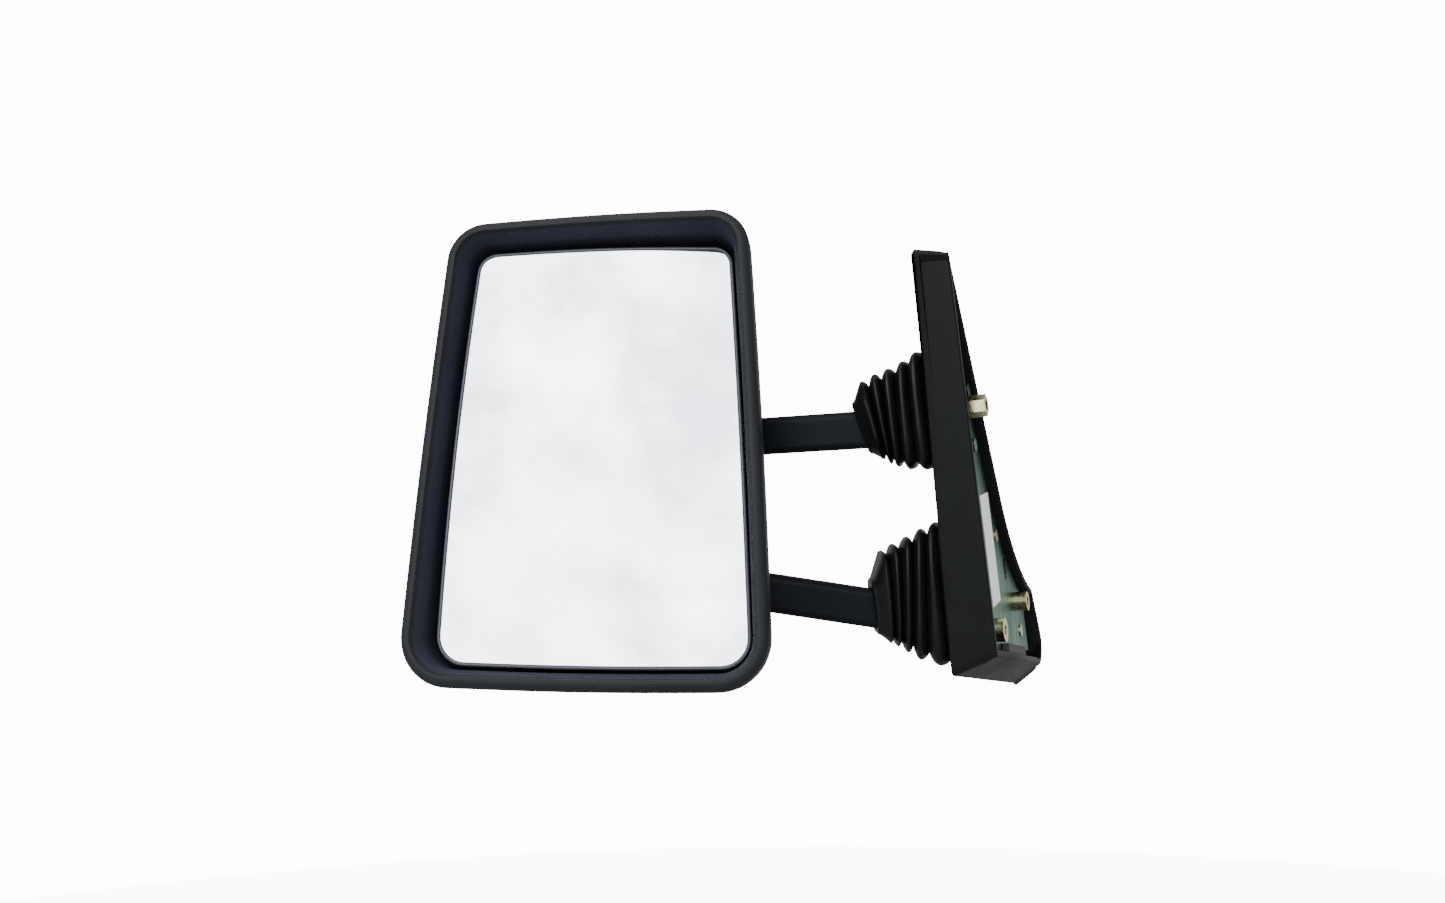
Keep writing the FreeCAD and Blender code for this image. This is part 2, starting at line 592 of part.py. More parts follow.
def bellows_body(side, trim, overrun):
    """Solid sleeve from the cover to the collar, made smaller all round by trim."""
    _, neck_end, _, _, rotation = arm_frame(side)
    foot_centre = hinge_point(side) + Vector(0, 0, size("bellows_%s_rise" % side))
    lowest = foot_centre.z - size("bellows_%s_half" % side)
    foot_centre.x = cover_skin(size("cover_rear"), lowest) - size("shell_gap") + overrun
    foot = rounded_section(BASE.multVec(foot_centre), BASE.Rotation,
                           size("bellows_half_wide") - trim, size("bellows_%s_half" % side) - trim)
    shoulder_half = 0.62 * size("bellows_%s_half" % side)
    rise = 0.5 * size("bellows_%s_rise" % side)
    turned = rotation * Rotation(Vector(0, 0, 1), 180)
    reach = size("shoulder_reach") - size("neck_reach")
    shoulder = rounded_section(neck_end + rotation.multVec(Vector(reach - trim, 0, rise)), turned,
                               size("collar_half_wide") + 5.5 - trim, shoulder_half - trim)
    sleeve = Part.makeLoft([foot, shoulder], True, True)
    collar = rounded_section(neck_end + rotation.multVec(Vector(reach - trim - 1, 0, 0)), turned,
                             size("collar_half_wide") - trim, size("collar_half_high") - trim)
    length = size("collar_reach") - size("shoulder_reach") + trim + 1 + overrun
    return sleeve.fuse(Part.Face(collar).extrude(rotation.multVec(Vector(length, 0, 0))))


def bellows(side):
    skin = bellows_body(side, 0, 0).cut(bellows_body(side, size("bellows_wall"), 1))
    feature("bellows_" + side, skin, WORLD)


# ---------------------------------------------------------------- base

def cover_wire(x_rear, x_front, skirt, inset, taper=0.0, crown=0.0):
    """Sail outline of the base, in a plane that runs from x_rear at the back to x_front at the foot.

    The plane comes taper nearer to the door at the top, where the outline is crown higher."""
    rear = size("cover_rear")
    fore = size("foot_fore")
    base_line = size("cover_low")
    growth = size("skirt_growth") * skirt / size("cover_skirt")
    slope = math.tan(math.radians(size("lean"))) + growth / (fore - rear)
    top = size("cover_top") + crown - 1.5 * inset

    def at(y, z):
        share = (y - rear) / (fore - rear)
        rise = (z - base_line) / (size("cover_top") - base_line)
        return Vector(x_rear + (x_front - x_rear) * share + taper * rise, y, z)

    def low(y):
        return base_line - slope * (y - rear) - skirt + inset

    back = rear + inset
    front = fore - inset
    edges = [
        Part.makeLine(at(back, low(back)), at(back, top)),
        Part.makeLine(at(back, top), at(back + 3, top)),
        Part.makeLine(at(back + 3, top), at(60 - inset, -66)),
        Part.Arc(at(60 - inset, -66), at(92 - inset, -112), at(140 - inset, -145 - inset)).toShape(),
        Part.makeLine(at(140 - inset, -145 - inset), at(front, low(fore) + 26)),
        Part.Arc(at(front, low(fore) + 26), at(front - 7, low(fore) + 9),
                 at(front - 30, low(front - 30))).toShape(),
        Part.makeLine(at(front - 30, low(front - 30)), at(back, low(back))),
    ]
    return Part.Wire(Part.__sortEdges__(edges))


def base_cover():
    thick = size("cover_thick")
    front = size("cover_front_thick")
    wall = size("cover_wall")
    skirt = size("cover_skirt")
    rim = size("cover_rim")
    taper = size("cover_taper")
    crown = size("cover_crown")
    outer = Part.makeLoft([cover_wire(0, 0, 0, 0),
                           cover_wire(-thick, -front, skirt, 0, taper, crown)], True, True)
    hollow = Part.makeLoft([cover_wire(1, 1, 0, rim),
                            cover_wire(wall - thick, wall - front, skirt, rim, taper, crown)], True, True)
    cover = outer.cut(hollow)
    for side in SIDES:
        centre = hinge_point(side)
        window = Part.makeBox(thick, 2 * size("clevis_half") + 3, 2 * size("clevis_far") + 4,
                              Vector(-thick - 5, centre.y - size("clevis_half") - 1.5,
                                     centre.z - size("clevis_far") - 2))
        cover = cover.cut(window)
    for y, z in COVER_SCREWS:
        skin = cover_skin(y, z) + 1
        boss = Part.makeCylinder(5, -size("bracket_face") - size("bracket_thick") - skin - 0.1,
                                 Vector(skin, y, z), Vector(1, 0, 0))
        hole = Part.makeCylinder(size("screw_hole_r"), 10, Vector(-16, y, z), Vector(1, 0, 0))
        cover = cover.fuse(boss).cut(hole)
    feature("base_cover", cover, BASE)


COVER_SCREWS = [(-3.0, 48.0), (54.0, -92.0), (104.0, -170.0)]
BRACKET_BOLT_SHIFT = {"upper": 7.0, "lower": -7.0}
SLOT = (72.0, -118.0)


def bush_places():
    return [(0.0, 0.0), (size("front_bush_fore"), size("front_bush_up")),
            (size("rear_bush_fore"), size("rear_bush_up"))]


def bracket_bolt_places():
    gap = size("clevis_far") + size("bracket_bolt_gap")
    return [(size("hinge_fore") + BRACKET_BOLT_SHIFT[side], size("hinge_" + side) + shift)
            for side in SIDES for shift in (gap, -gap)]


def base_bracket():
    """Pressed plate just inside the door face, with a stiffening flange along its rear edge."""
    outline = [(-9, 58), (-1, 58), (48, -64), (76, -108), (104, -132), (126, -150), (126, -190), (-9, -158.5)]
    holes = [(y, z, "spigot_r") for y, z in bush_places()]
    holes += [(y, z, "screw_hole_r") for y, z in bracket_bolt_places() + COVER_SCREWS]
    body = plate("bracket_plate", "YZ_Plane", outline, holes, "dims.bracket_thick",
                 "-dims.bracket_face - dims.bracket_thick")
    low = "-dims.bracket_face - dims.bracket_thick"
    flange = box("bracket_flange", ("dims.bracket_thick + dims.flange_out", "dims.bracket_thick", 126),
                 (low, "-9 - dims.bracket_thick", -70))
    y, z = SLOT
    ends = [rod("slot_end_%d" % index, "dims.slot_r", 20, (-20, y, z + rise), ALONG_X)
            for index, rise in enumerate((-4, 4))]
    middle = box("slot_middle", (20, "2 * dims.slot_r", 8), (-20, "%g - dims.slot_r" % y, z - 4))
    finish(cut("base_bracket", fuse("bracket_blank", body, flange), middle, *ends), "base_bracket", BASE)


def bush(name, blank, place):
    """Threaded bush riveted into the bracket plate."""
    y, z = place
    spigot = rod(name + "_spigot", "dims.spigot_r - dims.running_gap", "dims.bracket_thick",
                 ("-dims.bracket_face - dims.bracket_thick", y, z), ALONG_X)
    thread = rod(name + "_thread", "dims.thread_r", 60, (-30, y, z), ALONG_X)
    finish(cut(name, fuse(name + "_body", blank, spigot), thread), name, BASE)


def bushes():
    upper, front, rear = bush_places()
    hexagonal = hexagon("upper_bush_blank", "dims.hex_flats / 1.7320508", "dims.bracket_face + dims.hex_out",
                        ("-dims.bracket_face", 0, 0), ALONG_X)
    bush("upper_bush", hexagonal, upper)
    round_front = rod("front_bush_blank", "dims.round_bush_r", "dims.bracket_face + dims.front_bush_out",
                      ("-dims.bracket_face", *front), ALONG_X)
    bush("front_bush", round_front, front)
    round_rear = rod("rear_bush_blank", "dims.rear_bush_r", "dims.bracket_face",
                     ("-dims.bracket_face", *rear), ALONG_X)
    bush("rear_bush", round_rear, rear)


def base_screws(name, places, length, cap_high):
    """Screws whose heads are on the bracket's door side."""
    screws = []
    for index, (y, z) in enumerate(places):
        shank = rod("%s_shank_%d" % (name, index), "dims.screw_r", length,
                    ("-dims.bracket_face - (%s)" % length, y, z), ALONG_X)
        cap = rod("%s_cap_%d" % (name, index), "dims.screw_cap_r", cap_high,
                  ("-dims.bracket_face", y, z), ALONG_X)
        screws.append(fuse("%s_%d" % (name, index), shank, cap))
    finish(group(name, *screws), name, BASE)


def base_small_parts():
    base_screws("bracket_bolts", bracket_bolt_places(), "dims.bracket_thick + dims.clevis_web + 2",
                "dims.screw_cap_high")
    base_screws("cover_screws", COVER_SCREWS, "dims.bracket_thick + 5", "dims.flush_cap_high")
    label = box("data_label_sheet", ("dims.label_thick", "dims.label_wide", "dims.label_high"),
                ("-dims.bracket_face", 17, -136))
    finish(group("data_label", label), "data_label", BASE)
    foot = size("cover_rim") - 162 - math.tan(math.radians(size("lean"))) * (30 - size("cover_rear"))
    block = doc.addObject("Part::Box", "rubber_block_body")
    bind(block, Length="dims.bracket_face - 1.5", Width="60", Height="6")
    tilt = Rotation(Vector(1, 0, 0), -size("lean"))
    finish(block, "rubber_block", BASE * Placement(Vector(0.3 - size("bracket_face"), 30, foot + 0.5), tilt))


front_bezel()
rear_shell()
glass_pieces()
gimbal_cross()
pivot_post()
preload_spring()
head_plate()
head_fasteners()
for side in SIDES:
    arm(side)
    hinge_bracket(side)
    hinge_pin(side)
    bellows(side)
hinge_small_parts()
base_cover()
base_bracket()
bushes()
base_small_parts()

doc.recompute()
for obj in doc.Objects:
    if "Invalid" in obj.State or "Error" in obj.State:
        raise RuntimeError("%s failed: %s" % (obj.Name, obj.State))
for obj in nodes:
    if obj.Shape.isNull() or not obj.Shape.isValid():
        raise RuntimeError("%s has no valid shape" % obj.Label)

os.makedirs("parts", exist_ok=True)
for obj in nodes:
    obj.Shape.exportStep("parts/%s.step" % obj.Label)
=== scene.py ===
import json
import math

import bmesh
import bpy
from mathutils import Matrix, Vector


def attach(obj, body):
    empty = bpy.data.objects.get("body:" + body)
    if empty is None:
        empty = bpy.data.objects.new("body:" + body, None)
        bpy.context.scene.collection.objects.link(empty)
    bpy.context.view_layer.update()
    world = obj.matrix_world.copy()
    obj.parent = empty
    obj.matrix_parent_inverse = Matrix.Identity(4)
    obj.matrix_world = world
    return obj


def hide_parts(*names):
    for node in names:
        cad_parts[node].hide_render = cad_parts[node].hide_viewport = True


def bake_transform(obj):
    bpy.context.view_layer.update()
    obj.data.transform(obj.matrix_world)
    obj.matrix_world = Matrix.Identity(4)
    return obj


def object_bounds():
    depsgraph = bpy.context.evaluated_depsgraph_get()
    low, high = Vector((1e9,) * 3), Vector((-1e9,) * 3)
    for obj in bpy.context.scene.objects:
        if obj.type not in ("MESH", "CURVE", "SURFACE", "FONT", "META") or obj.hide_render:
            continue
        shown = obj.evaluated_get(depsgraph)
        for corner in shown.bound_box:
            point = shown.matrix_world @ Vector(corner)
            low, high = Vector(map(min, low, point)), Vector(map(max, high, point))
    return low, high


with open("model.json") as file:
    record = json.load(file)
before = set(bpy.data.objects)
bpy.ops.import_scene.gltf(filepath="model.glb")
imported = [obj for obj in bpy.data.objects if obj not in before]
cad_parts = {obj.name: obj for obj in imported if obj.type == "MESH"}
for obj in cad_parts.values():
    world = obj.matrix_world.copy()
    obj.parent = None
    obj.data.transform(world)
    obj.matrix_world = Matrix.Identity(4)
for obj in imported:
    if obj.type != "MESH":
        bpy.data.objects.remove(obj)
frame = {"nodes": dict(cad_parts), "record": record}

CAD_BOX = [list(corner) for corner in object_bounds()]
MM = 0.001

# ---------------------------------------------------------------- frames of the object

JOINTS = {joint["name"]: joint for joint in frame["record"]["behaviour"]["joints"]}


class Axes:
    """Local frame: millimetres along three axes from an origin in the row frame."""

    def __init__(self, origin, x, y, z):
        self.origin = Vector(origin)
        self.x = Vector(x).normalized()
        self.y = Vector(y).normalized()
        self.z = Vector(z).normalized()

    def at(self, x, y, z):
        return self.origin + (self.x * x + self.y * y + self.z * z) * MM


FOLD_AXIS = Vector(JOINTS["fold"]["axis"])
DOOR_NORMAL = Vector((1, 0, 0))
BASE = Axes((0, 0, 0), DOOR_NORMAL, FOLD_AXIS.cross(DOOR_NORMAL), FOLD_AXIS)

# Depth of the glass joint behind the rim plane of the head.
PIVOT_DEPTH = 40.0
HEAD_UP = Vector(JOINTS["glass_pan"]["axis"])
HEAD_OUT = Vector(JOINTS["glass_tilt"]["axis"])
HEAD_BACK = HEAD_UP.cross(HEAD_OUT)
RIM_CENTRE = Vector(JOINTS["glass_pan"]["pos_m"]) - HEAD_BACK * PIVOT_DEPTH * MM
HEAD = Axes(RIM_CENTRE, HEAD_OUT, HEAD_BACK, HEAD_UP)


# ---------------------------------------------------------------- mesh helpers

def new_object(name, mesh, material):
    obj = bpy.data.objects.new(name, mesh)
    bpy.context.collection.objects.link(obj)
    mesh.materials.append(material)
    return obj


def smooth(mesh, angle):
    for polygon in mesh.polygons:
        polygon.use_smooth = True
    mesh.set_sharp_from_angle(angle=math.radians(angle))


def from_bmesh(name, bm, material, angle=32):
    bmesh.ops.recalc_face_normals(bm, faces=bm.faces)
    mesh = bpy.data.meshes.new(name)
    bm.to_mesh(mesh)
    bm.free()
    smooth(mesh, angle)
    return new_object(name, mesh, material)


def loft(name, loops, material, angle, close_start=False, close_end=False, tip=None):
    """Bridge closed loops of equal length with quads; an end is one cap face, or a fan to the tip."""
    bm = bmesh.new()
    rings = [[bm.verts.new(point) for point in loop] for loop in loops]
    count = len(rings[0])
    for ring, following in zip(rings, rings[1:]):
        for index in range(count):
            other = (index + 1) % count
            bm.faces.new((ring[index], ring[other], following[other], following[index]))
    if close_start:
        bm.faces.new(list(reversed(rings[0])))
    if close_end:
        bm.faces.new(rings[-1])
    if tip is not None:
        centre = bm.verts.new(tip)
        for index in range(count):
            bm.faces.new((rings[-1][index], rings[-1][(index + 1) % count], centre))
    return from_bmesh(name, bm, material, angle)


def arc_points(start, middle, end, count):
    """Points on the circle through three points of a plane, without the first one."""
    (ax, ay), (bx, by), (cx, cy) = start, middle, end
    d = 2 * (ax * (by - cy) + bx * (cy - ay) + cx * (ay - by))
    sa, sb, sc = ax * ax + ay * ay, bx * bx + by * by, cx * cx + cy * cy
    ox = (sa * (by - cy) + sb * (cy - ay) + sc * (ay - by)) / d
    oy = (sa * (cx - bx) + sb * (ax - cx) + sc * (bx - ax)) / d
    radius = math.hypot(ax - ox, ay - oy)
    first = math.atan2(ay - oy, ax - ox)
    sweep = math.atan2(cy - oy, cx - ox) - first
    mid = (math.atan2(by - oy, bx - ox) - first) % (2 * math.pi)
    if sweep % (2 * math.pi) < mid:
        sweep = sweep % (2 * math.pi) - 2 * math.pi
    else:
        sweep = sweep % (2 * math.pi)
    return [(ox + radius * math.cos(first + sweep * step / count),
             oy + radius * math.sin(first + sweep * step / count)) for step in range(1, count + 1)]


def line_points(start, end, count):
    return [(start[0] + (end[0] - start[0]) * step / count, start[1] + (end[1] - start[1]) * step / count)
            for step in range(1, count + 1)]


def mix(low, high, share):
    return low + (high - low) * share


def ease(share):
    share = min(max(share, 0.0), 1.0)
    return share * share * (3 - 2 * share)


# ---------------------------------------------------------------- materials

class Shader:
    """Small wrapper round a Principled material's node tree."""

    def __init__(self, name):
        self.material = bpy.data.materials.new(name)
        self.material.use_nodes = True
        self.tree = self.material.node_tree
        self.bsdf = self.tree.nodes["Principled BSDF"]
        self.coords = self.node("ShaderNodeTexCoord")

    def node(self, kind, **settings):
        node = self.tree.nodes.new(kind)
        for name, value in settings.items():
            setattr(node, name, value)
        return node

    def link(self, output, socket):
        self.tree.links.new(output, socket)

    def set(self, **values):
        for name, value in values.items():
            self.bsdf.inputs[name.replace("_", " ")].default_value = value

    def noise(self, scale, detail=4.0, rough=0.55, stretch=None):
        node = self.node("ShaderNodeTexNoise")
        node.inputs["Scale"].default_value = scale
        node.inputs["Detail"].default_value = detail
        node.inputs["Roughness"].default_value = rough
        source = self.coords.outputs["Object"]
        if stretch:
            mapping = self.node("ShaderNodeMapping")
            mapping.inputs["Scale"].default_value = stretch
            self.link(source, mapping.inputs["Vector"])
            source = mapping.outputs["Vector"]
        self.link(source, node.inputs["Vector"])
        return node.outputs["Fac"]

    def ramp(self, factor, stops):
        """Colour ramp; each stop is (position, colour)."""
        node = self.node("ShaderNodeValToRGB")
        while len(node.color_ramp.elements) < len(stops):
            node.color_ramp.elements.new(0.5)
        for element, (position, colour) in zip(node.color_ramp.elements, stops):
            element.position = position
            element.color = (*colour, 1.0)
        self.link(factor, node.inputs["Fac"])
        return node.outputs["Color"]

    def range(self, factor, low, high, start=0.0, end=1.0):
        node = self.node("ShaderNodeMapRange")
        node.inputs["From Min"].default_value = start
        node.inputs["From Max"].default_value = end
        node.inputs["To Min"].default_value = low
        node.inputs["To Max"].default_value = high
        self.link(factor, node.inputs["Value"])
        return node.outputs["Result"]

    def blend(self, factor, first, second):
        node = self.node("ShaderNodeMix", data_type="RGBA")
        self.link(factor, node.inputs["Factor"])
        self.link(first, node.inputs["A"])
        self.link(second, node.inputs["B"])
        return node.outputs["Result"]

    def bump(self, layers):
        """Stack bumps; each layer is (height, strength, distance in mm)."""
        normal = None
        for height, strength, distance in layers:
            node = self.node("ShaderNodeBump")
            node.inputs["Strength"].default_value = strength
            node.inputs["Distance"].default_value = distance * MM
            self.link(height, node.inputs["Height"])
            if normal is not None:
                self.link(normal, node.inputs["Normal"])
            normal = node.outputs["Normal"]
        self.link(normal, self.bsdf.inputs["Normal"])

    def colour(self, output):
        self.link(output, self.bsdf.inputs["Base Color"])

    def roughness(self, output):
        self.link(output, self.bsdf.inputs["Roughness"])


def shade(tone, factor):
    return tuple(factor * part for part in tone)


def moulded_black(name, tone, rough, gloss, grain_size, grain_depth):
    """Moulded black plastic: fine spark-eroded grain and faint dusty patches."""
    shader = Shader(name)
    patches = shader.noise(9.0, 5.0)
    dust = shader.noise(60.0, 6.0, 0.7)
    base = shader.ramp(patches, [(0.3, tone), (0.75, shade(tone, 1.5))])
    dusty = shader.ramp(dust, [(0.45, shade(tone, 1.2)), (0.8, shade(tone, 2.4))])
    shader.colour(shader.blend(shader.range(patches, 0.0, 0.6, 0.5, 0.75), base, dusty))
    shader.roughness(shader.range(patches, rough - 0.06, rough + 0.08, 0.3, 0.7))
    shader.set(Specular_IOR_Level=gloss)
    shader.bump([(shader.noise(grain_size, 3.0, 0.6), 0.35, grain_depth),
                 (shader.noise(70.0, 2.0), 0.12, 0.1)])
    return shader.material


def bellows_rubber():
    """Black rubber with a faint bloom."""
    shader = Shader("bellows_rubber")
    bloom = shader.noise(26.0, 6.0, 0.65)
    shader.colour(shader.ramp(bloom, [(0.35, (0.0022, 0.0024, 0.0029)), (0.8, (0.0045, 0.0047, 0.0053))]))
    shader.roughness(shader.range(bloom, 0.28, 0.42, 0.3, 0.7))
    shader.set(Specular_IOR_Level=0.13)
    shader.bump([(shader.noise(900.0, 3.0), 0.25, 0.05), (shader.noise(120.0, 3.0), 0.2, 0.12)])
    return shader.material


def zinc(name, stops, rough, edge_tint):
    """Zinc plating: passivation colours drift over the sheet, with fine rolling marks."""
    shader = Shader(name)
    drift = shader.noise(22.0, 6.0, 0.6)
    lines = shader.noise(300.0, 4.0, 0.6, stretch=(1.0, 1.0, 0.06))
    shader.colour(shader.ramp(drift, stops))
    shader.roughness(shader.range(lines, rough - 0.1, rough + 0.12, 0.3, 0.7))
    shader.set(Metallic=1.0, Specular_Tint=(*edge_tint, 1.0))
    shader.bump([(lines, 0.25, 0.05), (drift, 0.1, 0.3)])
    return shader.material


def mirror_silver():
    """Silvered glass whose colour is painted in grey and white patches: a painted reflection of a soft cloudy
    sky.
    """
    shader = Shader("mirror_silver")
    # painted reflection: this noise mottles the silver's colour from grey to near white, as a cloudy sky
    # would look in it
    painted_sky_reflection = shader.noise(8.0, 6.0, 0.55)
    stops = [(0.40, (0.50, 0.52, 0.57)), (0.5, (0.76, 0.77, 0.81)), (0.60, (0.98, 0.98, 0.99))]
    shader.colour(shader.ramp(painted_sky_reflection, stops))
    shader.roughness(shader.range(shader.noise(30.0, 5.0), 0.015, 0.05, 0.4, 0.8))
    shader.set(Metallic=1.0)
    return shader.material


def label_paper():
    """Blank white label paper with a slight fibre."""
    shader = Shader("label_paper")
    fibre = shader.noise(400.0, 5.0)
    shader.colour(shader.ramp(fibre, [(0.3, (0.66, 0.66, 0.69)), (0.7, (0.80, 0.79, 0.81))]))
    shader.roughness(shader.range(fibre, 0.4, 0.6))
    shader.bump([(fibre, 0.15, 0.05)])
    return shader.material


def plain(name, tone, rough, metallic=0.0):
    """Small inner parts: one tone with fine variation in colour and gloss."""
    shader = Shader(name)
    drift = shader.noise(45.0, 5.0)
    shader.colour(shader.ramp(drift, [(0.3, shade(tone, 0.75)), (0.7, tone)]))
    shader.roughness(shader.range(drift, rough - 0.08, rough + 0.08, 0.3, 0.7))
    shader.set(Metallic=metallic)
    shader.bump([(shader.noise(500.0, 3.0), 0.2, 0.05)])
    return shader.material


# Plastics and paint: tone, roughness, gloss, grain size, grain depth in mm.
HOUSING = moulded_black("housing_black", (0.0085, 0.0092, 0.0112), 0.52, 0.10, 700.0, 0.02)
# painted light: the rim's inner wall is the housing's black plastic made lighter, bluer and matte, so that it
# reads evenly lit where it lies in shade
FUNNEL_PAINTED_LIGHT = moulded_black("funnel_painted_light", (0.0210, 0.0220, 0.0320), 0.85, 0.02, 600.0, 0.04)
COVER = moulded_black("cover_black", (0.0036, 0.0040, 0.0040), 0.50, 0.07, 420.0, 0.10)
ARM_COAT = moulded_black("arm_black", (0.0024, 0.0030, 0.0041), 0.46, 0.06, 950.0, 0.03)
# painted light: the glass carrier is black plastic given a lighter, bluer tone, so that its front face reads
# lit like the rim's inner wall
CARRIER_PAINTED_LIGHT = moulded_black("carrier_painted_light", (0.0300, 0.0310, 0.0400), 0.32, 0.30, 900.0, 0.03)
RUBBER = bellows_rubber()
BLOCK_RUBBER = plain("block_rubber", (0.016, 0.016, 0.017), 0.7)
ZINC_PLATE = zinc(
    "zinc_plate",
    [(0.3, (0.030, 0.048, 0.042)), (0.5, (0.065, 0.082, 0.072)), (0.7, (0.12, 0.12, 0.070))],
    0.34, (0.66, 0.84, 0.76))
ZINC_YELLOW = zinc(
    "zinc_yellow",
    [(0.3, (0.30, 0.26, 0.13)), (0.6, (0.48, 0.45, 0.28)), (0.8, (0.28, 0.32, 0.18))],
    0.26, (0.95, 0.93, 0.72))
STEEL = plain("plain_steel", (0.42, 0.43, 0.45), 0.36, 1.0)
NYLON = plain("nylon", (0.62, 0.60, 0.54), 0.5)
FOAM = plain("foam_tape", (0.05, 0.05, 0.05), 0.8)
MIRROR = mirror_silver()
PAPER = label_paper()

CAD_MATERIALS = {
    "base_bracket": ZINC_PLATE,
    "upper_bush": ZINC_YELLOW,
    "front_bush": ZINC_YELLOW,
    "rear_bush": ZINC_YELLOW,
    "bracket_bolts": ZINC_PLATE,
    "cover_screws": ZINC_YELLOW,
    "data_label": PAPER,
    "rubber_block": BLOCK_RUBBER,
    "hinge_bracket_upper": ZINC_PLATE,
    "hinge_bracket_lower": ZINC_PLATE,
    "hinge_pin_upper": STEEL,
    "hinge_pin_lower": STEEL,
    "disc_springs": STEEL,
    "hinge_nuts": ZINC_YELLOW,
    "thrust_washers": NYLON,
    "arm_upper": ARM_COAT,
    "arm_lower": ARM_COAT,
    "pivot_bushes": NYLON,
    "head_plate": ZINC_PLATE,
    "arm_bolts": STEEL,
    "arm_nuts": ZINC_YELLOW,
    "shell_screws": STEEL,
    "pivot_post": NYLON,
    "post_screws": STEEL,
    "preload_spring": STEEL,
    "gimbal_cross": NYLON,
    "adhesive_pad": FOAM,
}


def dress_cad():
    for node, material in CAD_MATERIALS.items():
        obj = frame["nodes"][node]
        obj.data.materials.clear()
        obj.data.materials.append(material)


# ---------------------------------------------------------------- head

# Corners of the head's outline and of the opening that the glass fills: lower outboard corner first.
SHELL_CORNERS = [(-124.0, -158.2), (120.1, -158.2), (100.6, 163.0), (-110.6, 161.0)]
SIGHT_CORNERS = [(-119.5, -158.0), (119.5, -158.0), (100.0, 158.0), (-108.0, 158.0)]
CORNER_RADII = [34.0, 34.0, 28.0, 28.0]
TIGHTEST_SHARE = 0.35
SIDE_BULGE = 1.2
CORNER_STEPS = 12
SIDE_STEPS = 14
SEAM_DEPTH = 32.0

# Swell of the lower outboard corner: its size, and where it starts and how far it takes to grow.
FLARE = 3.8
FLARE_LOW_START, FLARE_LOW_LENGTH = 60.0, 80.0
FLARE_SIDE_START, FLARE_SIDE_LENGTH = 50.0, 45.0
FLARE_FRONT_START, FLARE_FRONT_LENGTH = 5.0, 14.0
FLARE_BACK_END, FLARE_BACK_LENGTH = 90.0, 40.0

# Profile of the rim as (inset, depth behind the rim plane): funnel, lip, outer wall, seam.
FUNNEL_WALL = [(11.8, 46.0), (11.8, 30.0), (11.8, 17.0), (11.6, 15.0), (10.6, 10.0), (9.7, 5.8), (9.1, 3.4)]
FUNNEL_STEP = [(8.9, 2.7), (8.3, 2.4), (8.0, 2.1)]
LIP_START = [(7.95, 1.2), (7.75, 0.65), (7.3, 0.25), (6.6, 0.05)]
LIP_FRONT = 0.05
LIP_WIDE, LIP_DEEP = 6.4, 6.5
LIP_STEPS = 16
OUTER_WALL = [(0.0, 12.0), (0.1, 18.0), (0.6, 24.0), (1.5, SEAM_DEPTH - 1.2), (1.9, SEAM_DEPTH - 0.5),
              (2.6, SEAM_DEPTH - 0.15), (3.6, SEAM_DEPTH)]
SEAM_RETURN = [(7.0, SEAM_DEPTH + 0.8), (9.4, 45.0), (10.6, 46.0)]

# Profile of the rear shell: seam edge, side wall, shoulder arc, rings of the back with a groove.
BACK_SEAM = [(7.0, SEAM_DEPTH + 0.9), (3.6, SEAM_DEPTH + 0.8), (2.7, SEAM_DEPTH + 1.1),
             (2.3, SEAM_DEPTH + 1.9)]
BACK_SIDE = [(2.5, 38.0), (3.2, 44.0), (4.6, 52.0), (7.4, 64.0)]
BACK_ARC_STEPS = 14
BACK_ARC_INSET, BACK_ARC_WIDE = 9.6, 26.0
BACK_ARC_DEPTH, BACK_ARC_DEEP = 70.0, 23.6
BACK_DEPTH = 93.6
BACK_CROWN = 0.4
BACK_GROOVE = [(0.94, 0.0), (0.93, 0.3), (0.922, 1.3), (0.912, 1.6), (0.9, 1.3), (0.892, 0.3), (0.88, 0.0)]
BACK_FLAT = [(share, 0.0) for share in (0.8, 0.65, 0.5, 0.35, 0.2, 0.08)]

GLASS_INSET = 16.3
GLASS_DEPTH = 15.5
GLASS_CURVE = 2000.0
GLASS_CANT = math.radians(2.5)
GLASS_THICK = 3.0
GROUND_EDGE = 0.3
GLASS_RINGS = 16

# Profile of the carrier: (inset, distance behind the glass surface), then (share, distance) across its back.
TRAY_EDGE = [(16.45, 1.0), (16.2, -0.1), (15.8, -0.6), (15.2, -0.8), (14.6, -0.7), (14.15, -0.3),
             (13.95, 0.4), (13.9, 1.4), (13.9, 5.4), (14.5, 6.3)]
TRAY_BACK = [(1.0, 6.4), (0.8, 6.4), (0.79, 7.4), (0.6, 7.4), (0.59, 6.4), (0.4, 6.4), (0.39, 7.4),
             (0.2, 7.4), (0.1, 7.4)]
TRAY_BACK_INSET = 18.0


